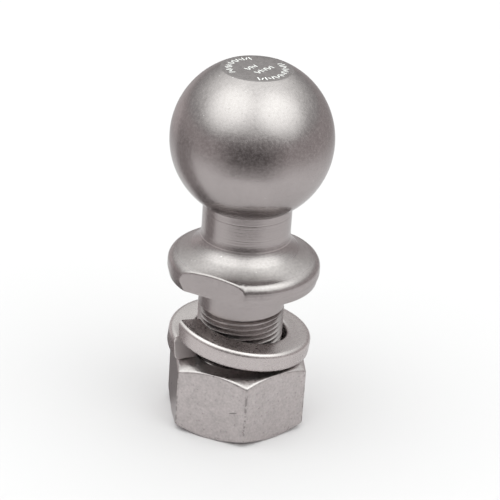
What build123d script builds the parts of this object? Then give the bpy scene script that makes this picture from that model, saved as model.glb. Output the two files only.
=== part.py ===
from build123d import *
from math import cos, degrees, hypot, pi, radians, sin, sqrt, tan
import os

os.makedirs("parts", exist_ok=True)

# Threaded tow ball: a forged ball stud with its split lock washer and its hex nut, in millimetres
# The origin is on the stud's axis at the nut's lower face, +Z runs up through the ball
# The front is -Y, and angles about the axis are counted from +X towards +Y

# Ball and neck
ball_diameter = 58.74
crown_diameter = 25.8
ball_rise = 53.6
neck_diameter = 32.4

# Collar under the neck
collar_diameter = 55.7
wall_height = 4.95
shoulder_radius = 3.7
shoulder_turn = 70.0
neck_fillet = 8.0
neck_fillet_turn = 40.0
rim_taper = 0.8
rim_taper_height = 3.0
wrench_flats = 49.2
wrench_angle = -115.5

# Shank
shank_diameter = 31.75
shank_length = 53.98
shank_fillet = 0.8
plain_length = 11.2
thread_pitch = 25.4 / 12
relief_width = 1.4
relief_bevel = 0.4
end_chamfer = 1.5

# Hex nut, in standard proportion to the shank
nut_width_share = 1.5
nut_height_share = 0.85
nut_bevel_inset = 0.415
nut_bevel_angle = 30.0
nut_corner_angle = -81.0
bore_chamfer = 1.3
nut_to_collar = 31.0

# Split lock washer
washer_width = 9.2
washer_thickness = 7.6
washer_outer_rounding = 1.8
washer_inner_rounding = 1.2
washer_split = 1.2
split_slant = 3.8
low_end_angle = -147.0

# Clearances, the first two round the shank
thread_clearance = 0.05
washer_clearance = 1.2
washer_rest_gap = 0.05
washer_turn_gap = 0.2

# Levels along the axis
nut_height = nut_height_share * shank_diameter
seat_z = nut_height + nut_to_collar
ball_z = seat_z + ball_rise
wall_top_z = seat_z + wall_height
plain_end_z = seat_z - plain_length
shank_end_z = seat_z - shank_length

# Radii, and where the crown and the neck meet the ball
ball_radius = ball_diameter / 2
crown_radius = crown_diameter / 2
neck_radius = neck_diameter / 2
collar_radius = collar_diameter / 2
shank_radius = shank_diameter / 2
thread_depth = thread_pitch * cos(radians(30)) * 17 / 24
relief_radius = shank_radius - thread_depth
crown_z = ball_z + sqrt(ball_radius**2 - crown_radius**2)
ball_foot_z = ball_z - sqrt(ball_radius**2 - neck_radius**2)

# The neck turns out through a fillet and a wider flare, and the shoulder turns back to the wall
shoulder_reach = shoulder_radius * (1 - cos(radians(shoulder_turn)))
fillet_reach = neck_fillet * (1 - cos(radians(neck_fillet_turn)))
flare_reach = collar_radius - neck_radius - shoulder_reach - fillet_reach
flare_radius = flare_reach / (cos(radians(neck_fillet_turn)) - cos(radians(shoulder_turn)))
flare_rise = flare_radius * (sin(radians(shoulder_turn)) - sin(radians(neck_fillet_turn)))
shoulder_rise = shoulder_radius * sin(radians(shoulder_turn))
fillet_rise = neck_fillet * sin(radians(neck_fillet_turn))
neck_foot_z = wall_top_z + shoulder_rise + flare_rise + fillet_rise


# Ball stud: one forging, turned all over, with two wrench flats milled on its collar
with BuildPart() as ball_stud:
    with BuildSketch(Plane.XZ) as half_section:
        with BuildLine() as outline:
            crown = Line((0, crown_z), (crown_radius, crown_z))
            ball = ThreePointArc(crown @ 1, (ball_radius, ball_z), (neck_radius, ball_foot_z))
            neck = Line(ball @ 1, (neck_radius, neck_foot_z))
            fillet_arc = CenterArc(
                (neck_radius + neck_fillet, neck_foot_z), neck_fillet, 180, neck_fillet_turn
            )
            flare = JernArc(
                fillet_arc @ 1, fillet_arc % 1, flare_radius, shoulder_turn - neck_fillet_turn
            )
            shoulder = JernArc(flare @ 1, flare % 1, shoulder_radius, -shoulder_turn)
            rim = Polyline(
                shoulder @ 1,
                (collar_radius, seat_z + rim_taper_height),
                (collar_radius - rim_taper, seat_z),
                (shank_radius + shank_fillet, seat_z),
            )
            root = CenterArc(
                (shank_radius + shank_fillet, seat_z - shank_fillet), shank_fillet, 90, 90
            )
            shank = Polyline(
                root @ 1,
                (shank_radius, plain_end_z),
                (relief_radius, plain_end_z - relief_bevel),
                (relief_radius, plain_end_z - relief_width + relief_bevel),
                (shank_radius, plain_end_z - relief_width),
                (shank_radius, shank_end_z + end_chamfer),
                (shank_radius - end_chamfer, shank_end_z),
                (0, shank_end_z),
                (0, crown_z),
            )
        make_face()
    revolve(axis=Axis.Z)

    # The flats stand on two opposite sides, square to the wrench angle
    with BuildSketch(Plane.XY.offset(seat_z)) as beyond_flats:
        with PolarLocations(wrench_flats / 2 + collar_radius / 2, 2, start_angle=wrench_angle):
            Rectangle(collar_radius, collar_diameter)
    extrude(amount=neck_foot_z - seat_z, mode=Mode.SUBTRACT)

ball_stud.part.label = "ball_stud"
export_step(ball_stud.part, "parts/ball_stud.step")


# Hex nut: a hexagon bar turned to a cone at both faces, its bore bevelled at both mouths
# The bevel is an inset wide at the middle of each flat, and widest at the corners
nut_width = nut_width_share * shank_diameter
corner_radius = nut_width / 2 / cos(pi / 6)
nut_face_radius = nut_width / 2 - nut_bevel_inset
nut_bevel_rise = (corner_radius - nut_face_radius) * tan(radians(nut_bevel_angle))
nut_bore_radius = shank_radius + thread_clearance

with BuildPart() as hex_nut:
    with BuildSketch() as hexagon:
        RegularPolygon(nut_width / 2, 6, major_radius=False, rotation=nut_corner_angle)
    extrude(amount=nut_height)

    with BuildSketch(Plane.XZ) as turned_section:
        with BuildLine() as turned_outline:
            Polyline(
                (0, 0),
                (nut_face_radius, 0),
                (corner_radius, nut_bevel_rise),
                (corner_radius, nut_height - nut_bevel_rise),
                (nut_face_radius, nut_height),
                (0, nut_height),
                close=True,
            )
        make_face()
    revolve(axis=Axis.Z, mode=Mode.INTERSECT)

    Hole(nut_bore_radius)
    mouths = hex_nut.edges().filter_by(GeomType.CIRCLE).sort_by(SortBy.RADIUS)[:2]
    chamfer(mouths, bore_chamfer)

hex_nut.part.label = "hex_nut"
export_step(hex_nut.part, "parts/hex_nut.step")


# Split lock washer: square bar coiled left-hand for a turn that rises by a little over its thickness
# Sprung open, it rests on its low end's inner edge and on its outer edge half a turn away
mean_radius = shank_radius + washer_clearance + washer_width / 2
turns = 1 + (split_slant - washer_split) / (2 * pi * mean_radius)
coil_rise = washer_thickness + washer_turn_gap
washer_lean = degrees(hypot(coil_rise / 4, coil_rise / (2 * pi)) / mean_radius)

# The split slants through the bar: its cuts reach past both faces by half of the gap between turns
half_cut = (washer_thickness + washer_turn_gap) / 2
cut_reach = split_slant / washer_thickness * washer_turn_gap / 2

with BuildPart() as lock_washer:
    with BuildLine() as coil:
        Helix(coil_rise, coil_rise * turns, mean_radius, lefthand=True)
    low_end = Plane(origin=coil.line @ 0, x_dir=(1, 0, 0), z_dir=coil.line % 0)
    with BuildSketch(low_end) as bar_section:
        Rectangle(washer_width, washer_thickness)
        fillet(bar_section.vertices().group_by(Axis.X)[-1], washer_outer_rounding)
        fillet(bar_section.vertices().group_by(Axis.X)[0], washer_inner_rounding)
    sweep(path=coil.line, is_frenet=True)

    # The low end is cut back at its top, and the upper end at its bottom
    low_inward = Vector(-1, 0, 0)
    with BuildSketch(Plane(origin=coil.line @ 0, x_dir=coil.line % 0, z_dir=low_inward)):
        Polygon(
            (-washer_split, -half_cut),
            (-cut_reach, -half_cut),
            (split_slant + cut_reach, half_cut),
            (-washer_split, half_cut),
            align=None,
        )
    extrude(amount=washer_width, both=True, mode=Mode.SUBTRACT)
    high_inward = low_inward.rotate(Axis.Z, -360 * turns)
    with BuildSketch(Plane(origin=coil.line @ 1, x_dir=coil.line % 1, z_dir=high_inward)):
        Polygon(
            (-split_slant - cut_reach, -half_cut),
            (washer_split, -half_cut),
            (washer_split, half_cut),
            (cut_reach, half_cut),
            align=None,
        )
    extrude(amount=washer_width, both=True, mode=Mode.SUBTRACT)

# The coil is turned to its low end's angle, leaned, centred on the shank and set down on the nut
lock_washer.part.location = Location((0, 0, 0), (0, washer_lean, low_end_angle))
leaned_box = lock_washer.part.bounding_box()
washer_lift = nut_height + washer_rest_gap - leaned_box.min.Z
lock_washer.part.position = (-leaned_box.center().X, -leaned_box.center().Y, washer_lift)
lock_washer.part.label = "lock_washer"
export_step(lock_washer.part, "parts/lock_washer.step")
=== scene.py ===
from math import atan, cos, degrees, hypot, pi, radians, sin, sqrt, tan

import bmesh
import bpy
import numpy as np
from mathutils import Matrix, Vector


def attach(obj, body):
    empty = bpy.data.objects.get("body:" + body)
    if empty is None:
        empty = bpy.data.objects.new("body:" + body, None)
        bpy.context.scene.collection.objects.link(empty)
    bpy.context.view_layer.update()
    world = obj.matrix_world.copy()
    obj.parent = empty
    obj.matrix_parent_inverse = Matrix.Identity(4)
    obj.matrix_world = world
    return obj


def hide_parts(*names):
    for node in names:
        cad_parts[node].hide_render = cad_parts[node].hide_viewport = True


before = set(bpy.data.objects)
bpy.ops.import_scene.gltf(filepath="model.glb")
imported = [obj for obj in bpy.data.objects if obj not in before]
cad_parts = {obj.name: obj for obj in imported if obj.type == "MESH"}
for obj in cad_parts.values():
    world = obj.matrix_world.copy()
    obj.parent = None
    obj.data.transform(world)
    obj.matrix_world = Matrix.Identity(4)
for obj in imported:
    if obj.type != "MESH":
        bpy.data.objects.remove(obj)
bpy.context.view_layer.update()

# The pieces' sizes are in millimetres, as in the part's source, and become metres by this
MM = 0.001


# Camera: it looks down on the ball from straight in front, turned so that the stud leans left
# Its distance and the ball's centre are in metres
picture_width = 500
focal_pixels = 1974.0
sensor_width = 36.0
camera_distance = 0.700
camera_elevation = radians(22.6)
camera_roll = radians(3.885)
ball_centre = Vector((0.0, 0.0, 0.1115875))

# Where the ball's centre shows, in pixels from the picture's left and upper edges
ball_across = 252.28
ball_down = 138.23

look = Vector((0.0, cos(camera_elevation), -sin(camera_elevation)))
level_right = Vector((1.0, 0.0, 0.0))
upright = level_right.cross(look)
rolled_right = level_right * cos(camera_roll) + upright * sin(camera_roll)
rolled_up = upright * cos(camera_roll) - level_right * sin(camera_roll)
half_picture = picture_width / 2
ball_ray = Vector((ball_across - half_picture, half_picture - ball_down, focal_pixels)).normalized()
swing = Vector((0.0, 0.0, 1.0)).rotation_difference(ball_ray).to_matrix()
right, up, ahead = swing @ Matrix((rolled_right, rolled_up, look))

camera_data = bpy.data.cameras.new("camera")
camera_data.sensor_width = sensor_width
camera_data.lens = focal_pixels / picture_width * sensor_width
camera = bpy.data.objects.new("camera", camera_data)
camera.matrix_world = (
    Matrix.Translation(ball_centre - look * camera_distance)
    @ Matrix((right, up, -ahead)).transposed().to_4x4()
)
bpy.context.scene.collection.objects.link(camera)
bpy.context.scene.camera = camera


# Ball stud
# One steel forging, turned all over and plated: ball, neck, collar, and a shank that is threaded
# below a short relief groove. Two wrench flats are milled on the collar, and the crown is stamped
ball_radius = 29.37
crown_radius = 12.9
crown_rounding = 0.15
neck_radius = 16.2
neck_fillet = 8.0
neck_fillet_turn = radians(40.0)
collar_radius = 27.85
wall_height = 4.95
shoulder_radius = 3.7
shoulder_turn = radians(70.0)
rim_taper = 0.8
rim_taper_height = 3.0
flat_distance = 24.6
flat_angle = radians(-115.5)
edge_rounding = 0.7
shank_radius = 15.875
shank_fillet = 0.8
plain_end_z = 46.7875
relief_bevel = 0.4
relief_width = 1.4
relief_edge_width = 0.05
relief_edge_height = 0.12
shank_end_z = 4.0075
end_chamfer = 1.5

ball_z = ball_centre.z / MM
seat_z = 57.9875
wall_top_z = seat_z + wall_height
crown_z = ball_z + sqrt(ball_radius**2 - crown_radius**2)
ball_foot_z = ball_z - sqrt(ball_radius**2 - neck_radius**2)

# The neck starts just under the ball, and two faint grooves are turned round it
# Its straight stretches end this far above and below the grooves' middles
neck_top_z = ball_foot_z - 0.1
groove_width = 0.5
upper_groove_z = ball_foot_z - 2.55
upper_groove_depth = 0.035
above_upper, below_upper = 0.35, 0.45
lower_groove_z = ball_foot_z - 8.5
lower_groove_depth = 0.012
above_lower, below_lower = 0.30, 0.50

# Thread: sixty degree flanks, right hand, one crest passing the front at crest_z
thread_pitch = 25.4 / 12
thread_depth = thread_pitch * cos(radians(30)) * 17 / 24
crest_width = thread_pitch / 8
crest_angle = radians(-84.0)
crest_z = 44.98
root_radius = shank_radius - thread_depth


def straight(start, end, count):
    """Points at even steps on the straight line from start to end, both included."""
    share = np.linspace(0, 1, count)[:, None]
    return np.array(start) * (1 - share) + np.array(end) * share


def arc(centre, radius, first, last, count):
    """Points at even steps on a circle round centre, from the first angle to the last in degrees."""
    angle = np.radians(np.linspace(first, last, count))
    return np.array(centre) + radius * np.stack([np.cos(angle), np.sin(angle)], axis=1)


def held(start, end, margin=0.2):
    """Points on the straight line from start to end, with one near each end to keep its shading flat."""
    length = np.hypot(*np.subtract(end, start))
    share = np.array([0.0, margin / length, 0.35, 0.65, 1 - margin / length, 1.0])[:, None]
    return np.array(start) * (1 - share) + np.array(end) * share


def groove(z, depth):
    """A turned groove in the neck: its depth falls off from the middle as a cosine does."""
    share = np.linspace(-1, 1, 9)
    radius = neck_radius - depth * (1 + np.cos(pi * share)) / 2
    return np.stack([radius, z - groove_width / 2 * share], axis=1)


def turned(outline, angles):
    """The surface that an outline of radius and height sweeps as it turns through the angles."""
    radius = outline[:, 0, None]
    height = np.broadcast_to(outline[:, 1, None], (len(outline), len(angles)))
    return np.stack([radius * np.cos(angles), radius * np.sin(angles), height], axis=-1)


def screw(angles, angle, height, profile, turns_up, turns_down):
    """A thread's surface before it is cut to length.

    Each row is one point of the thread's profile, and climbs by a pitch as the angle goes once round.
    It gives the rows' heights and radii.
    """
    climb = thread_pitch * (angles - angle) / (2 * pi)
    turns = np.arange(-turns_up, turns_down + 1)
    drop = (turns[:, None] * thread_pitch + profile[:, 0]).ravel()
    radii = np.tile(profile[:, 1], len(turns))
    return height + climb - drop[:, None], np.broadcast_to(radii[:, None], (len(drop), len(angles)))


def rings(radii, heights, angles):
    """Points at those radii and heights, one column for each angle."""
    return np.stack([radii * np.cos(angles), radii * np.sin(angles), heights], axis=-1)


# Edges turned by more than this many degrees stay crisp, and the lengths are in millimetres
sharp_angle = 32.0
join_distance = 0.0015
least_edge = 0.0005


def make_piece(name, grids, extra=()):
    """A piece from grids of points in millimetres, whose quads join neighbouring rows and columns.

    Points that lie closer than join_distance become one, which closes seams and poles.
    extra holds more points and faces, such as a flat with holes.
    """
    points, faces, first = [], [], 0
    for grid in grids:
        rows, columns = grid.shape[:2]
        index = first + np.arange(rows * columns).reshape(rows, columns)
        quads = np.stack([index[:-1, :-1], index[1:, :-1], index[1:, 1:], index[:-1, 1:]], axis=-1)
        points.append(grid.reshape(-1, 3))
        faces.extend(quads.reshape(-1, 4).tolist())
        first += rows * columns
    for more_points, more_faces in extra:
        points.append(more_points)
        faces.extend([[first + corner for corner in face] for face in more_faces])
        first += len(more_points)
    mesh = bpy.data.meshes.new(name)
    mesh.from_pydata(np.concatenate(points) * MM, [], faces)
    merged = bmesh.new()
    merged.from_mesh(mesh)
    bmesh.ops.remove_doubles(merged, verts=merged.verts, dist=join_distance * MM)
    bmesh.ops.dissolve_degenerate(merged, edges=merged.edges, dist=least_edge * MM)
    merged.to_mesh(mesh)
    merged.free()
    mesh.shade_smooth()
    mesh.set_sharp_from_angle(angle=radians(sharp_angle))
    piece = bpy.data.objects.new(name, mesh)
    bpy.context.scene.collection.objects.link(piece)
    return piece


# Columns stand about 2 degrees apart, with one at each upright edge of the flats
flat_half = np.arccos(flat_distance / collar_radius)
over_flat = np.linspace(-flat_half, flat_half, 33)[:-1]
between_flats = np.linspace(flat_half, pi - flat_half, 59)[:-1]
stud_angles = flat_angle + np.concatenate([over_flat, between_flats, over_flat + pi, between_flats + pi])
stud_angles = np.append(stud_angles, stud_angles[0] + 2 * pi)

# The ball meets the crown at a rounded rim
crown_slope = degrees(np.arccos(crown_radius / ball_radius))
rim_start = (crown_radius - crown_rounding, crown_z)
rim_slope = degrees(crown_rounding / ball_radius)
rim_end = arc((0, ball_z), ball_radius, crown_slope - rim_slope, 0, 2)[0]
rim_share = np.linspace(0, 1, 4)[:, None]
rim = (
    np.array(rim_start) * (1 - rim_share) ** 2
    + 2 * np.array((crown_radius, crown_z)) * rim_share * (1 - rim_share)
    + rim_end * rim_share**2
)
foot_slope = -degrees(np.arccos(neck_radius / ball_radius))

# The shoulder turns in from the wall, and the flare and the fillet turn on to the neck
shoulder_centre = np.array((collar_radius - shoulder_radius, wall_top_z))
slope_out = np.array((cos(shoulder_turn), sin(shoulder_turn)))
fillet_out = np.array((cos(neck_fillet_turn), sin(neck_fillet_turn)))
shoulder_in = shoulder_centre + shoulder_radius * slope_out
flare_reach = shoulder_in[0] - neck_radius - neck_fillet * (1 - fillet_out[0])
flare_radius = flare_reach / (fillet_out[0] - slope_out[0])
flare_centre = shoulder_in + flare_radius * slope_out
fillet_centre = flare_centre + (neck_fillet - flare_radius) * fillet_out
neck_foot_z = fillet_centre[1]
fillet_degrees, slope_degrees = degrees(neck_fillet_turn), degrees(shoulder_turn)

ball_and_neck = np.concatenate([
    rim,
    arc((0, ball_z), ball_radius, crown_slope - rim_slope, foot_slope, 76)[1:],
    held((neck_radius, neck_top_z), (neck_radius, upper_groove_z + above_upper)),
    groove(upper_groove_z, upper_groove_depth),
    held((neck_radius, upper_groove_z - below_upper), (neck_radius, lower_groove_z + above_lower)),
    groove(lower_groove_z, lower_groove_depth),
    held((neck_radius, lower_groove_z - below_lower), (neck_radius, neck_foot_z)),
])

# The collar's outline ends at an upright line, which stands at the flat or at the wall, whichever
# is nearer to the axis in that direction
collar_outline = np.concatenate([
    arc(fillet_centre, neck_fillet, 180, 180 + fillet_degrees, 200),
    arc(flare_centre, flare_radius, 180 + fillet_degrees, 180 + slope_degrees, 200)[1:],
    arc(shoulder_centre, shoulder_radius, slope_degrees, 0, 200)[1:],
])
outline_length = np.concatenate([[0], np.cumsum(np.hypot(*np.diff(collar_outline, axis=0).T))])
wall = np.minimum(collar_radius, flat_distance / np.abs(np.cos(stud_angles - flat_angle)))
wall_top = np.interp(wall, collar_outline[:, 0], collar_outline[:, 1])
wall_length = np.interp(wall, collar_outline[:, 0], outline_length)
over_top = np.linspace(0, 1, 64)[:, None] * (wall_length - edge_rounding)
over_top_radii = np.interp(over_top, outline_length, collar_outline[:, 0])
over_top_heights = np.interp(over_top, outline_length, collar_outline[:, 1])

# A parabola rounds the edge between the outline and the wall
rounding_foot = wall_top - edge_rounding
round_share = np.linspace(0, 1, 6)[1:, None]
rounded_radii = over_top_radii[-1] * (1 - round_share) ** 2 + wall * (1 - (1 - round_share) ** 2)
rounded_heights = (
    over_top_heights[-1] * (1 - round_share) ** 2
    + wall_top * 2 * round_share * (1 - round_share)
    + rounding_foot * round_share**2
)
rim_radius = collar_radius - rim_taper
wall_foot = seat_z + rim_taper_height * np.clip((wall - rim_radius) / rim_taper, 0, 1)
down_wall = np.array([0.08, 0.3, 0.6, 0.92, 1.0])[:, None]
wall_radii = wall + 0 * down_wall
wall_heights = rounding_foot * (1 - down_wall) + wall_foot * down_wall
foot_radius = np.minimum(wall, rim_radius)
down_taper = np.array([0.08, 0.5, 0.92, 1.0])[:, None]
taper_radii = wall * (1 - down_taper) + foot_radius * down_taper
taper_heights = wall_foot * (1 - down_taper) + seat_z * down_taper
collar_radii = np.concatenate([over_top_radii, rounded_radii, wall_radii, taper_radii])
collar_heights = np.concatenate([over_top_heights, rounded_heights, wall_heights, taper_heights])
seat_share = np.linspace(0, 1, 5)[:, None]
seat_radii = foot_radius * (1 - seat_share) + (shank_radius + shank_fillet) * seat_share
seat_heights = seat_z + 0 * seat_radii

thread_top = plain_end_z - relief_width + relief_bevel
relief_top = (root_radius, plain_end_z - relief_bevel)
plain_shank = np.concatenate([
    arc((shank_radius + shank_fillet, seat_z - shank_fillet), shank_fillet, 90, 180, 7),
    held((shank_radius, seat_z - shank_fillet), (shank_radius, plain_end_z + relief_edge_height))[1:],
    straight((shank_radius - relief_edge_width, plain_end_z), relief_top, 3),
    straight(relief_top, (root_radius, thread_top), 3)[1:],
])

# The thread's crests end in the relief groove above and in the end's chamfer below
# Its profile is sampled at these distances above and below a crest
below_crest = np.array([0.0, 0.10, 0.20, 0.45, 0.70, 0.88, 0.95])
profile_drop = np.concatenate([-below_crest[:0:-1], below_crest])
profile_depth = np.clip((np.abs(profile_drop) - crest_width / 2) / tan(radians(30)), 0, thread_depth)
stud_profile = np.stack([profile_drop, shank_radius - profile_depth], axis=1)
thread_heights, thread_radii = screw(
    stud_angles, crest_angle, crest_z, stud_profile, turns_up=2, turns_down=22
)
thread_heights = np.clip(thread_heights, shank_end_z, thread_top)
envelope_heights = [shank_end_z, shank_end_z + end_chamfer, thread_top - relief_bevel, thread_top]
envelope_radii = [shank_radius - end_chamfer, shank_radius, shank_radius, root_radius]
thread_radii = np.minimum(thread_radii, np.interp(thread_heights, envelope_heights, envelope_radii))
shank_end = straight((shank_radius - end_chamfer, shank_end_z), (0, shank_end_z), 8)

# The crown's stamped marks are short strokes, in two arcs along its rim and two rows in its middle
# An arc has its first and last angle and its count of strokes, and a row its middle and its count
stroke_width = 0.50
stroke_depth = 0.22
stroke_floor_share = 0.5
stroke_reach = np.array([1.15, 0.70, 1.05, 0.55, 0.95])
stroke_tilt = np.radians([14.0, -22.0, 0.0, 26.0, -12.0])
mark_radius = 9.9
mark_arcs = ((106.0, 211.0, 15), (-85.0, 37.0, 17))
mark_rows = (((-2.0, 0.7), 5), ((2.6, -0.8), 8))
row_heading = radians(52.0)
row_step = 1.15


def mark_line(middles, outward):
    """Strokes at the middles, each along its outward direction, tilted and of uneven lengths."""
    strokes = []
    for place, (middle, heading) in enumerate(zip(middles, outward)):
        kind = place % len(stroke_tilt)
        tilted = heading + stroke_tilt[kind]
        run = stroke_reach[kind] * np.array((cos(tilted), sin(tilted)))
        strokes.append((middle - run, middle + run))
    return strokes


mark_strokes = []
for first_angle, last_angle, count in mark_arcs:
    mark_angles = np.radians(np.linspace(first_angle, last_angle, count))
    arc_middles = mark_radius * np.stack([np.cos(mark_angles), np.sin(mark_angles)], axis=1)
    mark_strokes += mark_line(arc_middles, mark_angles)
row_along = np.array((cos(row_heading), sin(row_heading)))
for row_middle, count in mark_rows:
    row_steps = (np.arange(count) - (count - 1) / 2)[:, None] * row_step
    row_middles = np.array(row_middle) + row_steps * row_along
    mark_strokes += mark_line(row_middles, np.full(count, row_heading + pi / 2))


def stroke_outline(start, end, width):
    """The outline of a stroke with round ends, as a loop of points round it."""
    run = (end - start) / np.hypot(*(end - start))
    heading = degrees(np.arctan2(run[1], run[0]))
    return np.concatenate([
        arc(end, width / 2, heading - 90, heading + 90, 6),
        arc(start, width / 2, heading + 90, heading + 270, 6),
    ])


def stamped_disc(ring, strokes, height):
    """A flat disc inside the ring with the strokes sunk into it.

    A flat curve of the ring and the strokes fills to a disc with holes, and each hole gets walls that
    lean in to a floor.
    """
    curve = bpy.data.curves.new("crown_outline", "CURVE")
    curve.dimensions = "2D"
    curve.fill_mode = "BOTH"
    loops = [ring] + [stroke_outline(start, end, stroke_width) for start, end in strokes]
    for loop in loops:
        spline = curve.splines.new("POLY")
        spline.points.add(len(loop) - 1)
        coordinates = np.ones((len(loop), 4))
        coordinates[:, :2] = loop
        coordinates[:, 2] = 0
        spline.points.foreach_set("co", coordinates.ravel())
        spline.use_cyclic_u = True
    holder = bpy.data.objects.new("crown_outline", curve)
    flat = bpy.data.meshes.new_from_object(holder)
    disc_points = np.zeros(len(flat.vertices) * 3)
    flat.vertices.foreach_get("co", disc_points)
    disc_points = disc_points.reshape(-1, 3)
    disc_points[:, 2] = height
    disc_faces = [list(face.vertices) for face in flat.polygons]
    if flat.polygons[0].normal.z < 0:
        disc_faces = [face[::-1] for face in disc_faces]
    bpy.data.objects.remove(holder)
    bpy.data.curves.remove(curve)
    bpy.data.meshes.remove(flat)
    sunk = [(disc_points, disc_faces)]
    for start, end in strokes:
        edge = stroke_outline(start, end, stroke_width)
        shrunk = stroke_outline(start, end, stroke_width * stroke_floor_share)
        count = len(edge)
        top = np.column_stack([edge, np.full(count, height)])
        low = np.column_stack([shrunk, np.full(count, height - stroke_depth)])
        here = np.arange(count)
        after = (here + 1) % count
        walls = np.stack([here, after, after + count, here + count], axis=1).tolist()
        sunk.append((np.concatenate([top, low]), walls + [list(range(count, 2 * count))]))
    return sunk


crown_ring = rim[0, 0] * np.stack([np.cos(stud_angles[:-1]), np.sin(stud_angles[:-1])], axis=1)
stud = make_piece(
    "tow_ball_stud",
    [
        turned(ball_and_neck, stud_angles),
        rings(collar_radii, collar_heights, stud_angles),
        rings(seat_radii, seat_heights, stud_angles),
        turned(plain_shank, stud_angles),
        rings(thread_radii, thread_heights, stud_angles),
        turned(shank_end, stud_angles),
    ],
    extra=stamped_disc(crown_ring, mark_strokes, crown_z),
)


def joined(tree, kind, settings, inputs):
    """A new node of that kind, with its settings made and its inputs set to values or linked."""
    node = tree.nodes.new(kind)
    for setting, value in settings.items():
        setattr(node, setting, value)
    for socket, value in inputs.items():
        if isinstance(value, bpy.types.NodeSocket):
            tree.links.new(value, node.inputs[socket])
        else:
            node.inputs[socket].default_value = value
    return node


# The finish: flecks, pits and specks come about so many times to the metre as their scales say
edge_tint = (0.8, 0.8, 0.8, 1.0)
fleck_scale = 1100.0
pit_scale = 420.0
pit_shade = 0.45
speck_scale = 230.0
speck_colour = (0.75, 0.72, 0.71, 1.0)
relief_height = 0.1 * MM


def plated_steel(name, colour, roughness, mottle_size, mottle, fleck, dulled, grain, pits):
    """Satin plated steel as a node material.

    Its colour drifts by the mottle's share in blotches of mottle_size, in metres, and by the fleck's
    share in fine flecks. The flecks also change its roughness, dull it a little, and stand in relief
    of the grain's strength. Dark pits and a few bright specks lie scattered over it.
    """
    material = bpy.data.materials.new(name)
    material.use_nodes = True
    tree = material.node_tree
    shader = tree.nodes["Principled BSDF"]
    shader.inputs["Specular Tint"].default_value = edge_tint
    place = tree.nodes.new("ShaderNodeTexCoord").outputs["Object"]

    blotches = joined(tree, "ShaderNodeTexNoise", {}, {
        "Vector": place, "Scale": 1 / mottle_size, "Detail": 4.0, "Roughness": 0.6,
    })
    flecks = joined(tree, "ShaderNodeTexNoise", {}, {
        "Vector": place, "Scale": fleck_scale, "Detail": 2.0, "Roughness": 0.5,
    })
    drift = joined(tree, "ShaderNodeMath", {"operation": "MULTIPLY_ADD"}, {
        0: blotches.outputs["Fac"], 1: 2 * mottle, 2: 1 - mottle - fleck / 2,
    })
    shade = joined(tree, "ShaderNodeMath", {"operation": "MULTIPLY_ADD"}, {
        0: flecks.outputs["Fac"], 1: fleck, 2: drift.outputs["Value"],
    })
    plating = joined(tree, "ShaderNodeVectorMath", {"operation": "SCALE"}, {
        0: colour, "Scale": shade.outputs["Value"],
    })
    uneven = joined(tree, "ShaderNodeMapRange", {}, {
        "Value": flecks.outputs["Fac"], "From Min": 0.25, "From Max": 0.75,
        "To Min": roughness - 0.05, "To Max": roughness + 0.07,
    })
    tree.links.new(uneven.outputs["Result"], shader.inputs["Roughness"])
    dull = joined(tree, "ShaderNodeMapRange", {}, {
        "Value": flecks.outputs["Fac"], "From Min": 0.40, "From Max": 0.70,
        "To Min": 1.0, "To Max": 1 - dulled,
    })
    tree.links.new(dull.outputs["Result"], shader.inputs["Metallic"])

    pit_cells = joined(tree, "ShaderNodeTexVoronoi", {}, {"Vector": place, "Scale": pit_scale})
    pit = joined(tree, "ShaderNodeMapRange", {}, {
        "Value": pit_cells.outputs["Distance"], "From Min": 0.03, "From Max": 0.12,
        "To Min": pits, "To Max": 0.0,
    })
    pitted = joined(tree, "ShaderNodeMix", {"data_type": "RGBA"}, {
        "Factor": pit.outputs["Result"], "A": plating.outputs["Vector"],
        "B": [channel * pit_shade for channel in colour] + [1.0],
    })
    speck_cells = joined(tree, "ShaderNodeTexVoronoi", {}, {"Vector": place, "Scale": speck_scale})
    speck = joined(tree, "ShaderNodeMapRange", {}, {
        "Value": speck_cells.outputs["Distance"], "From Min": 0.03, "From Max": 0.07,
        "To Min": 0.5, "To Max": 0.0,
    })
    speckled = joined(tree, "ShaderNodeMix", {"data_type": "RGBA"}, {
        "Factor": speck.outputs["Result"], "A": pitted.outputs["Result"], "B": speck_colour,
    })
    tree.links.new(speckled.outputs["Result"], shader.inputs["Base Color"])

    relief = joined(tree, "ShaderNodeBump", {}, {
        "Height": flecks.outputs["Fac"], "Strength": grain, "Distance": relief_height,
    })
    tree.links.new(relief.outputs["Normal"], shader.inputs["Normal"])
    return material


def blended(material, socket, mask, value):
    """Where the mask is one, that input of the steel takes the value, and where it is nought its own."""
    tree = material.node_tree
    target = tree.nodes["Principled BSDF"].inputs[socket]
    own = target.links[0].from_socket if target.is_linked else target.default_value
    mix = joined(tree, "ShaderNodeMix", {"data_type": "RGBA" if target.type == "RGBA" else "FLOAT"}, {
        "Factor": mask, "A": own, "B": value,
    })
    tree.links.new(mix.outputs["Result"], target)


def between(material, low, high, soft):
    """A mask that is one between two heights in millimetres, and falls off within soft beyond them."""
    tree = material.node_tree
    place = tree.nodes.new("ShaderNodeTexCoord").outputs["Object"]
    height = joined(tree, "ShaderNodeSeparateXYZ", {}, {"Vector": place}).outputs["Z"]
    half = (high - low) / 2
    from_middle = joined(tree, "ShaderNodeMath", {"operation": "SUBTRACT"}, {
        0: height, 1: (low + high) / 2 * MM,
    })
    apart = joined(tree, "ShaderNodeMath", {"operation": "ABSOLUTE"}, {0: from_middle.outputs["Value"]})
    mask = joined(tree, "ShaderNodeMapRange", {"interpolation_type": "SMOOTHSTEP"}, {
        "Value": apart.outputs["Value"], "From Min": half * MM, "From Max": (half + soft) * MM,
        "To Min": 1.0, "To Max": 0.0,
    })
    return mask.outputs["Result"]


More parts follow.
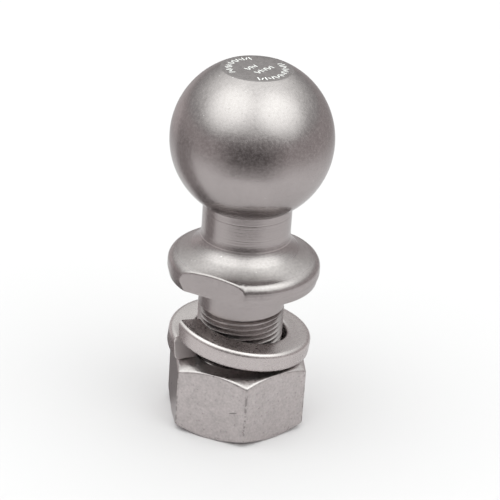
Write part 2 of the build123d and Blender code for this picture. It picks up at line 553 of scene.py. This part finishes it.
def within(material, centre, reaches, firm=0.6):
    """A mask that is one at the centre and nought outside an egg shape given by three reaches.

    It starts to fall off at the firm share of the way out. Centre and reaches are in millimetres,
    and the reaches stand square to each other.
    """
    tree = material.node_tree
    place = tree.nodes.new("ShaderNodeTexCoord").outputs["Object"]
    offset = joined(tree, "ShaderNodeVectorMath", {"operation": "SUBTRACT"}, {
        0: place, 1: [coordinate * MM for coordinate in centre],
    })
    shares = tree.nodes.new("ShaderNodeCombineXYZ")
    for axis, reach in enumerate(reaches):
        along = np.array(reach) / np.dot(reach, reach) / MM
        share = joined(tree, "ShaderNodeVectorMath", {"operation": "DOT_PRODUCT"}, {
            0: offset.outputs["Vector"], 1: along.tolist(),
        })
        tree.links.new(share.outputs["Value"], shares.inputs[axis])
    away = joined(tree, "ShaderNodeVectorMath", {"operation": "LENGTH"}, {0: shares.outputs["Vector"]})
    mask = joined(tree, "ShaderNodeMapRange", {"interpolation_type": "SMOOTHSTEP"}, {
        "Value": away.outputs["Value"], "From Min": firm, "From Max": 1.0, "To Min": 1.0, "To Max": 0.0,
    })
    return mask.outputs["Result"]


# The turned lines' pattern changes slowly across the axis and fast along it
line_scale = (70.0, 70.0, 2300.0)
line_share_above = 0.15


def turned_lines(material, top, strength):
    """Fine lines round the axis, as a lathe leaves them, fainter above the top, in millimetres."""
    tree = material.node_tree
    shader = tree.nodes["Principled BSDF"]
    place = tree.nodes.new("ShaderNodeTexCoord").outputs["Object"]
    flattened = joined(tree, "ShaderNodeVectorMath", {"operation": "MULTIPLY"}, {0: place, 1: line_scale})
    lines = joined(tree, "ShaderNodeTexNoise", {}, {
        "Vector": flattened.outputs["Vector"], "Scale": 1.0, "Detail": 3.0, "Roughness": 0.7,
    })
    fade = joined(tree, "ShaderNodeMath", {"operation": "MULTIPLY_ADD"}, {
        0: between(material, 0.0, top, 2.0),
        1: strength * (1 - line_share_above), 2: strength * line_share_above,
    })
    relief = joined(tree, "ShaderNodeBump", {}, {
        "Height": lines.outputs["Fac"], "Strength": fade.outputs["Value"], "Distance": relief_height,
        "Normal": shader.inputs["Normal"].links[0].from_socket,
    })
    tree.links.new(relief.outputs["Normal"], shader.inputs["Normal"])


stud_steel = plated_steel(
    "stud_steel", (0.384, 0.350, 0.346), roughness=0.20,
    mottle_size=0.010, mottle=0.07, fleck=0.42, dulled=0.08, grain=0.14, pits=0.40,
)
turned_lines(stud_steel, ball_foot_z, strength=0.30)

# The neck's foot and all below it were turned more coarsely, most of all the flare's lower part
below_neck_roughness = 0.27
flare_roughness = 0.40
flare_low = shoulder_in[1] + 0.9
flare_high = shoulder_in[1] + 3.0
below_neck_mask = between(stud_steel, 0.0, neck_foot_z - 1.5, soft=3.0)
blended(stud_steel, "Roughness", below_neck_mask, below_neck_roughness)
blended(stud_steel, "Roughness", between(stud_steel, flare_low, flare_high, soft=0.8), flare_roughness)

# A tool line runs round the neck's foot, and its brightness is a painted highlight: the light its small
# edge catches is painted into the colour
tool_line_z = neck_foot_z - 2.45
tool_line_half = 0.15
tool_line_highlight_mask = between(
    stud_steel, tool_line_z - tool_line_half, tool_line_z + tool_line_half, soft=0.15
)
blended(stud_steel, "Base Color", tool_line_highlight_mask, (0.52, 0.48, 0.475, 1.0))

# The strokes' rough sunk floors are bright all over
sunk_mask = joined(stud_steel.node_tree, "ShaderNodeMath", {"operation": "MULTIPLY"}, {
    0: between(stud_steel, crown_z - 1.0, crown_z - 0.05, soft=0.02),
    1: within(stud_steel, (0.0, 0.0, crown_z), crown_radius * np.eye(3), firm=0.99),
}).outputs["Value"]
blended(stud_steel, "Base Color", sunk_mask, (0.93, 0.92, 0.91, 1.0))
blended(stud_steel, "Roughness", sunk_mask, 0.6)
blended(stud_steel, "Metallic", sunk_mask, 0.15)
stud.data.materials.append(stud_steel)
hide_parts("ball_stud")
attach(stud, "stud")


# Split lock washer
# One left-hand coil of square spring steel bar, cut through and sprung open, its edges tumbled round
# It lies loose on the nut, on its low end and on its outer edge half a turn away
nut_height = 26.9875
washer_clearance = 1.2
washer_width = 9.2
washer_thickness = 7.6
washer_outer_rounding = 1.8
washer_inner_rounding = 1.2
washer_split = 1.2
split_slant = 3.8
washer_end_rounding = 0.25
washer_rest_gap = 0.05
washer_turn_gap = 0.2
low_end_angle = radians(-147.0)

mean_radius = shank_radius + washer_clearance + washer_width / 2
coil_rise = washer_thickness + washer_turn_gap
end_turn = 1 + (split_slant - washer_split) / (2 * pi * mean_radius)
washer_lean = hypot(coil_rise / 4, coil_rise / (2 * pi)) / mean_radius


def bar_outline(shrink):
    """The square bar's outline, across and up from its middle, with its corners rounded off.

    shrink takes the outline in from the bar's own.
    """
    across = washer_width / 2 - shrink
    high = washer_thickness / 2 - shrink
    corners = (
        (across, high, washer_outer_rounding, 0),
        (-across, high, washer_inner_rounding, 90),
        (-across, -high, washer_inner_rounding, 180),
        (across, -high, washer_outer_rounding, 270),
    )
    arcs = []
    for corner_x, corner_y, rounding, start in corners:
        centre = (corner_x - np.sign(corner_x) * rounding, corner_y - np.sign(corner_y) * rounding)
        arcs.append(arc(centre, rounding, start, start + 90, 7))
    loop = []
    for rounded, following in zip(arcs, arcs[1:] + arcs[:1]):
        loop += [rounded, straight(rounded[-1], following[0], 5)[1:-1]]
    return np.concatenate(loop + [arcs[0][:1]])


def coiled(share, outline):
    """The bar's outline set square across the coil, once for each share of the coil's length.

    The coil falls back by its turn as a left-hand screw does. The split slants: each point starts and
    ends as far along the bar as its height in the bar asks for.
    """
    slant = split_slant * (outline[..., 1] / washer_thickness + 0.5)
    around = 2 * pi * (mean_radius + outline[..., 0])
    first_turn = slant / around
    last_turn = end_turn + (slant - split_slant) / around
    turn = first_turn * (1 - share[:, None]) + last_turn * share[:, None]
    angle = -2 * pi * turn
    slope = atan(coil_rise / (2 * pi * mean_radius))
    outward = np.stack([np.cos(angle), np.sin(angle), 0 * angle], axis=-1)
    run = np.stack([np.sin(angle), -np.cos(angle), 0 * angle + tan(slope)], axis=-1) * cos(slope)
    rise = np.cross(run, outward)
    rise *= np.sign(rise[..., 2:])
    middle_line = mean_radius * outward
    middle_line[..., 2] = coil_rise * turn
    return middle_line + outward * outline[..., 0, None] + rise * outline[..., 1, None]


# The outline shrinks a little at both ends, which rounds their edges, and then closes to a point
shares = np.linspace(0, 1, 183)
shares[1] = washer_end_rounding / (2 * pi * mean_radius)
shares[-2] = 1 - shares[1]
outlines = np.repeat(bar_outline(0.0)[None], len(shares), axis=0)
outlines[0] = outlines[-1] = bar_outline(washer_end_rounding)
closed = np.zeros_like(outlines[:1])
upright_washer = coiled(np.concatenate([[0], shares, [1]]), np.concatenate([closed, outlines, closed]))

# The coil is turned to its low end's angle, leaned, centred on the shank and set down on the nut
turned_round = Matrix.Rotation(washer_lean, 3, "Y") @ Matrix.Rotation(low_end_angle, 3, "Z")
washer_points = upright_washer @ np.array(turned_round).T
washer_low = washer_points.min(axis=(0, 1))
washer_high = washer_points.max(axis=(0, 1))
washer_lift = nut_height + washer_rest_gap - washer_low[2]
washer_points -= np.array([*(washer_low + washer_high)[:2] / 2, -washer_lift])
washer = make_piece("split_lock_washer", [washer_points[:, ::-1]])
washer_steel = plated_steel(
    "washer_steel", (0.515, 0.470, 0.464), roughness=0.28,
    mottle_size=0.007, mottle=0.10, fleck=0.14, dulled=0.03, grain=0.07, pits=0.05,
)
washer.data.materials.append(washer_steel)

# Both ends were sheared off, which leaves them rough, and their colour is painted bright: a painted light
# that lifts the shade they lie in at the split
sheared_depth = 0.35
sheared_reach = 8.0
for end_points in (washer_points[:2], washer_points[:-3:-1]):
    end_middle, end_edge = end_points[0, 0], end_points[1]
    high, across = end_edge[0] - end_middle, end_edge[len(end_edge) // 4] - end_middle
    high *= sheared_reach / np.linalg.norm(high)
    square = np.cross(high, across)
    square *= sheared_depth / np.linalg.norm(square)
    over = np.cross(square, high)
    over *= sheared_reach / np.linalg.norm(over)
    sheared_and_painted_light_mask = within(washer_steel, end_middle, (square, over, high))
    blended(washer_steel, "Base Color", sheared_and_painted_light_mask, (0.62, 0.57, 0.565, 1.0))
    blended(washer_steel, "Roughness", sheared_and_painted_light_mask, 0.65)
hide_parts("lock_washer")
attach(washer, "washer")


# Hex nut
# A heavy nut forged from hexagon bar, its corners turned back to a cone at both faces, then tapped
# with the stud's thread and plated like the stud
nut_half_width = 23.8125
nut_face_radius = nut_half_width - 0.415
nut_corner_angle = radians(-81.0)
nut_corner_rounding = 0.7
nut_edge_rounding = 1.0
nut_bevel_angle = radians(30.0)
most_of_bevel = 0.45
column_margin = 0.008
mouth_radius = 17.225
nut_minor_radius = 14.73
thread_clearance = 0.07

# The nut's thread lies nine turns further down the same screw
nut_crest_z = crest_z - 9 * thread_pitch

# A column stands by that margin, in radians, beside each corner's rounding and keeps the side flat
corner_centre = (nut_half_width - nut_corner_rounding) / cos(pi / 6)
corner_half = atan(nut_corner_rounding / 2 / (corner_centre + nut_corner_rounding * cos(pi / 6)))
beside_corner = corner_half + column_margin
side_angles = np.concatenate([
    np.linspace(-corner_half, corner_half, 7),
    [beside_corner],
    np.linspace(corner_half, pi / 3 - corner_half, 21)[1:-1],
    [pi / 3 - beside_corner],
])
from_corner = np.tile(side_angles, 6)
nut_angles = nut_corner_angle + (from_corner + np.repeat(np.arange(6), len(side_angles)) * pi / 3)
from_corner = np.append(from_corner, from_corner[0])
nut_angles = np.append(nut_angles, nut_angles[0] + 2 * pi)
on_side = nut_half_width / np.cos(from_corner - pi / 6)
in_corner = np.clip(from_corner, -corner_half, corner_half)
on_corner = corner_centre * np.cos(in_corner) + np.sqrt(
    nut_corner_rounding**2 - (corner_centre * np.sin(in_corner)) ** 2
)
side_radius = np.where(np.abs(from_corner) <= corner_half, on_corner, on_side)
bevel_drop = (side_radius - nut_face_radius) * tan(nut_bevel_angle)


def nut_end(face_z, inward):
    """Rows from the nut's flat face over the bevel to where its sides start.

    inward is the way into the nut. A parabola rounds each edge of the bevel, and takes up no more
    than the most_of_bevel share of the bevel's width.
    """
    share = np.linspace(0, 1, 5)[:, None]
    out, down = cos(nut_bevel_angle), sin(nut_bevel_angle)
    rounding = np.minimum(nut_edge_rounding, bevel_drop / down * most_of_bevel)
    first_radii = nut_face_radius - rounding * (1 - share) ** 2 + rounding * out * share**2
    first_heights = rounding * down * share**2
    second_radii = side_radius - rounding * out * (1 - share) ** 2
    second_heights = bevel_drop - rounding * down * (1 - share) ** 2 + nut_edge_rounding * share**2
    radii = np.concatenate([first_radii, second_radii])
    heights = np.concatenate([first_heights, second_heights])
    return radii, face_z + inward * heights


top_radii, top_heights = nut_end(nut_height, -1)
low_radii, low_heights = nut_end(0.0, 1)
face_share = np.linspace(0, 1, 4)[:, None]
face_radii = mouth_radius * (1 - face_share) + top_radii[0] * face_share
nut_profile = np.stack([
    profile_drop, np.maximum(shank_radius - profile_depth + thread_clearance, nut_minor_radius)
], axis=1)
nut_thread_heights, nut_thread_radii = screw(
    nut_angles, crest_angle, nut_crest_z, nut_profile, turns_up=2, turns_down=13
)
nut_thread_heights = np.clip(nut_thread_heights, 0.0, nut_height)
mouth_depth = mouth_radius - nut_minor_radius
cone = np.interp(
    nut_thread_heights,
    [0, mouth_depth, nut_height - mouth_depth, nut_height],
    [mouth_radius, nut_minor_radius, nut_minor_radius, mouth_radius],
)
nut_thread_radii = np.maximum(nut_thread_radii, cone)
nut = make_piece(
    "heavy_hex_nut",
    [
        rings(face_radii, nut_height + 0 * face_radii, nut_angles),
        rings(
            np.concatenate([top_radii, low_radii[::-1]]),
            np.concatenate([top_heights, low_heights[::-1]]),
            nut_angles,
        ),
        rings(face_radii[::-1], 0 * face_radii, nut_angles),
        rings(nut_thread_radii, nut_thread_heights, nut_angles)[::-1],
    ],
)
nut_steel = plated_steel(
    "nut_steel", (0.478, 0.438, 0.434), roughness=0.31,
    mottle_size=0.004, mottle=0.18, fleck=0.55, dulled=0.08, grain=0.35, pits=0.09,
)
nut.data.materials.append(nut_steel)

# A short dark scratch lies on the left front side
scratch_middle = (-0.3, -25.4, 13.5)
scratch_reaches = ((1.8, -0.7, 0.55), (-0.11, -0.04, 0.31), (-0.2, -0.5, 0.0))
scratch_mask = within(nut_steel, scratch_middle, scratch_reaches)
blended(nut_steel, "Base Color", scratch_mask, (0.24, 0.22, 0.215, 1.0))

# The corners are rubbed dark here and there
rubbed_from = 27.15 * MM
rubbed_full = 27.35 * MM
rubbed_patch_scale = 650.0
nut_tree = nut_steel.node_tree
nut_place = nut_tree.nodes.new("ShaderNodeTexCoord").outputs["Object"]
flat_place = joined(nut_tree, "ShaderNodeVectorMath", {"operation": "MULTIPLY"}, {
    0: nut_place, 1: (1.0, 1.0, 0.0),
})
from_axis = joined(nut_tree, "ShaderNodeVectorMath", {"operation": "LENGTH"}, {
    0: flat_place.outputs["Vector"],
})
on_corner_line = joined(nut_tree, "ShaderNodeMapRange", {}, {
    "Value": from_axis.outputs["Value"], "From Min": rubbed_from, "From Max": rubbed_full,
})
patches = joined(nut_tree, "ShaderNodeTexNoise", {}, {
    "Vector": nut_place, "Scale": rubbed_patch_scale, "Detail": 2.0,
})
in_patch = joined(nut_tree, "ShaderNodeMapRange", {}, {
    "Value": patches.outputs["Fac"], "From Min": 0.46, "From Max": 0.56, "To Max": 0.75,
})
rubbed_mask = joined(nut_tree, "ShaderNodeMath", {"operation": "MULTIPLY"}, {
    0: on_corner_line.outputs["Result"], 1: in_patch.outputs["Result"],
}).outputs["Value"]
blended(nut_steel, "Base Color", rubbed_mask, (0.22, 0.20, 0.195, 1.0))
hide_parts("hex_nut")
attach(nut, "nut")


# Floor and light
# A plain pale floor under a soft white dome that is brightest overhead and towards both front sides
# A grey surround, dark in front and seen in reflections alone, gives the steel its dark band
floor_half = 12.0
floor_mesh = bpy.data.meshes.new("floor")
floor_corners = ((-1, -1), (1, -1), (1, 1), (-1, 1))
floor_mesh.from_pydata(
    [(floor_half * side, floor_half * depth, 0) for side, depth in floor_corners], [], [(0, 1, 2, 3)]
)
floor = bpy.data.objects.new("floor", floor_mesh)
bpy.context.scene.collection.objects.link(floor)


def matt_paint(name, colour):
    """A paint without any shine."""
    paint = bpy.data.materials.new(name)
    paint.use_nodes = True
    paint_shader = paint.node_tree.nodes["Principled BSDF"]
    paint_shader.inputs["Base Color"].default_value = colour
    paint_shader.inputs["Roughness"].default_value = 1.0
    paint_shader.inputs["Specular IOR Level"].default_value = 0.0
    return paint


floor_mesh.materials.append(matt_paint("floor_paint", (0.650, 0.620, 0.630, 1.0)))

# The surround is a wide dish of rows, each with its radius and height in metres, then a grey level
# and a cover for the front, then a level and a cover for the sides and the back. Where the cover is
# nought, what lies behind shows through
surround_rows = np.array([
    [0.024, 0.001, 0.40, 0.00, 0.50, 0.00],
    [0.034, 0.002, 0.40, 0.00, 0.50, 0.00],
    [0.045, 0.002, 0.40, 0.00, 0.50, 0.00],
    [0.060, 0.002, 0.40, 0.00, 0.50, 0.00],
    [0.080, 0.002, 0.40, 0.00, 0.50, 0.00],
    [0.110, 0.002, 0.40, 0.00, 0.50, 0.00],
    [0.150, 0.002, 0.38, 0.00, 0.50, 0.00],
    [0.185, 0.002, 0.36, 0.60, 0.50, 0.08],
    [0.210, 0.002, 0.33, 0.75, 0.50, 0.18],
    [0.240, 0.002, 0.30, 0.80, 0.50, 0.28],
    [0.330, 0.002, 0.25, 0.92, 0.50, 0.60],
    [0.450, 0.002, 0.18, 1.00, 0.52, 0.85],
    [0.450, 0.060, 0.17, 1.00, 0.52, 1.00],
    [0.450, 0.112, 0.17, 1.00, 0.50, 1.00],
    [0.450, 0.172, 0.20, 0.95, 0.50, 1.00],
    [0.450, 0.232, 0.27, 0.68, 0.50, 0.00],
    [0.450, 0.340, 0.45, 0.00, 0.50, 0.00],
])

# Strips on the left, each with its angle, half width, grey level, nearest and farthest radius and height
surround_strips = (
    (-104.0, 28.0, 0.39, 0.07, 0.50, 0.10),
    # The second strip is a painted shadow: the shade on the floor close round the nut's foot, seen in the
    # nut's side by reflection
    (-128.0, 56.0, 0.24, 0.02, 0.09, 0.10),
    (-142.0, 26.0, 0.74, 0.40, 0.50, 0.15),
)

# The front turns into the sides over this stretch of angle, and the grey is a little warm
side_start = 12.0
side_stretch = 50.0
surround_warmth = 1.07


def dished(rows, angles):
    """Points of a dish round the origin, with angles counted from the front towards the right."""
    radius = rows[:, 0, None]
    height = rows[:, 1, None] + 0 * angles
    return np.stack([radius * np.sin(angles), -radius * np.cos(angles), height], axis=-1)


surround_degrees = np.arange(0, 361, 3) - 180.0
surround_points = dished(surround_rows, np.radians(surround_degrees))
row_radius, row_height, front_level, front_cover, side_level, side_cover = surround_rows.T[:, :, None]
to_side = np.clip((np.abs(surround_degrees) - side_start) / side_stretch, 0, 1)
side_share = to_side * to_side * (3 - 2 * to_side)
grey_level = front_level * (1 - side_share) + side_level * side_share
cover = front_cover * (1 - side_share) + side_cover * side_share
for strip_angle, reach, strip_level, nearest, farthest, highest in surround_strips:
    in_strip = np.clip(2.0 - 2.0 * np.abs(surround_degrees - strip_angle) / reach, 0, 1)
    in_strip = in_strip * (row_radius > nearest) * (row_radius < farthest) * (row_height < highest)
    grey_level = grey_level * (1 - in_strip) + strip_level * in_strip
    cover = np.maximum(cover, in_strip)

# Its quads face inwards, and an attribute holds each point's grey and, as its alpha, its cover
rows, columns = grey_level.shape
index = np.arange(rows * columns).reshape(rows, columns)
surround_quads = np.stack([index[:-1, :-1], index[:-1, 1:], index[1:, 1:], index[1:, :-1]], axis=-1)
surround_mesh = bpy.data.meshes.new("surround")
surround_mesh.from_pydata(surround_points.reshape(-1, 3), [], surround_quads.reshape(-1, 4).tolist())
shades = np.stack([grey_level * surround_warmth, grey_level, grey_level, cover], axis=-1)
shade_attribute = surround_mesh.attributes.new("shade", "FLOAT_COLOR", "POINT")
shade_attribute.data.foreach_set("color", shades.ravel())

surround_paint = bpy.data.materials.new("surround_paint")
surround_paint.use_nodes = True
paint_tree = surround_paint.node_tree
paint_tree.nodes.clear()
shade_reader = joined(paint_tree, "ShaderNodeAttribute", {"attribute_name": "shade"}, {})
grey = joined(paint_tree, "ShaderNodeEmission", {}, {"Color": shade_reader.outputs["Color"]})
clear = joined(paint_tree, "ShaderNodeBsdfTransparent", {}, {})
covered = joined(paint_tree, "ShaderNodeMixShader", {}, {
    "Fac": shade_reader.outputs["Alpha"], 1: clear.outputs["BSDF"], 2: grey.outputs["Emission"],
})
joined(paint_tree, "ShaderNodeOutputMaterial", {}, {"Surface": covered.outputs["Shader"]})
surround_mesh.materials.append(surround_paint)

surround = bpy.data.objects.new("surround", surround_mesh)
bpy.context.scene.collection.objects.link(surround)
surround.visible_camera = False
surround.visible_diffuse = False
surround.visible_shadow = False

# The dome has an even light, to which the glows of three large lamps are added
dome_strength = 0.50
lamp_colour = (0.930, 1.0, 0.975, 1.0)
world = bpy.data.worlds.new("studio")
world.use_nodes = True
sky = world.node_tree
heading = joined(sky, "ShaderNodeTexCoord", {}, {}).outputs["Generated"]


def glow(azimuth, elevation, reach, strength):
    """A round glow in the dome: full at its middle, gone at reach, soft in between.

    The angles are in degrees, and the azimuth is counted from the front towards the right.
    """
    turn, rise = radians(azimuth), radians(elevation)
    towards = joined(sky, "ShaderNodeVectorMath", {"operation": "DOT_PRODUCT"}, {
        0: heading, 1: (sin(turn) * cos(rise), -cos(turn) * cos(rise), sin(rise)),
    })
    falloff = joined(sky, "ShaderNodeMapRange", {"interpolation_type": "SMOOTHSTEP"}, {
        "Value": towards.outputs["Value"], "From Min": cos(radians(reach)), "From Max": 1.0,
        "To Min": 0.0, "To Max": strength,
    })
    return falloff.outputs["Result"]


overhead = glow(0.0, 90.0, reach=80.0, strength=1.35)
front_left = glow(-59.0, 50.5, reach=41.0, strength=0.90)
front_right = glow(59.0, 46.8, reach=41.0, strength=0.98)
two_glows = joined(sky, "ShaderNodeMath", {"operation": "ADD"}, {0: overhead, 1: front_left})
all_glows = joined(sky, "ShaderNodeMath", {"operation": "ADD"}, {
    0: two_glows.outputs["Value"], 1: front_right,
})
even_light = sky.nodes["Background"]
even_light.inputs["Color"].default_value = (1.0, 1.0, 1.0, 1.0)
even_light.inputs["Strength"].default_value = dome_strength
lamps = joined(sky, "ShaderNodeBackground", {}, {
    "Color": lamp_colour, "Strength": all_glows.outputs["Value"],
})
both = joined(sky, "ShaderNodeAddShader", {}, {
    0: even_light.outputs["Background"], 1: lamps.outputs["Background"],
})
sky.links.new(both.outputs["Shader"], sky.nodes["World Output"].inputs["Surface"])
bpy.context.scene.world = world
bpy.context.scene.view_settings.view_transform = "Standard"
bpy.context.scene.view_settings.look = "None"
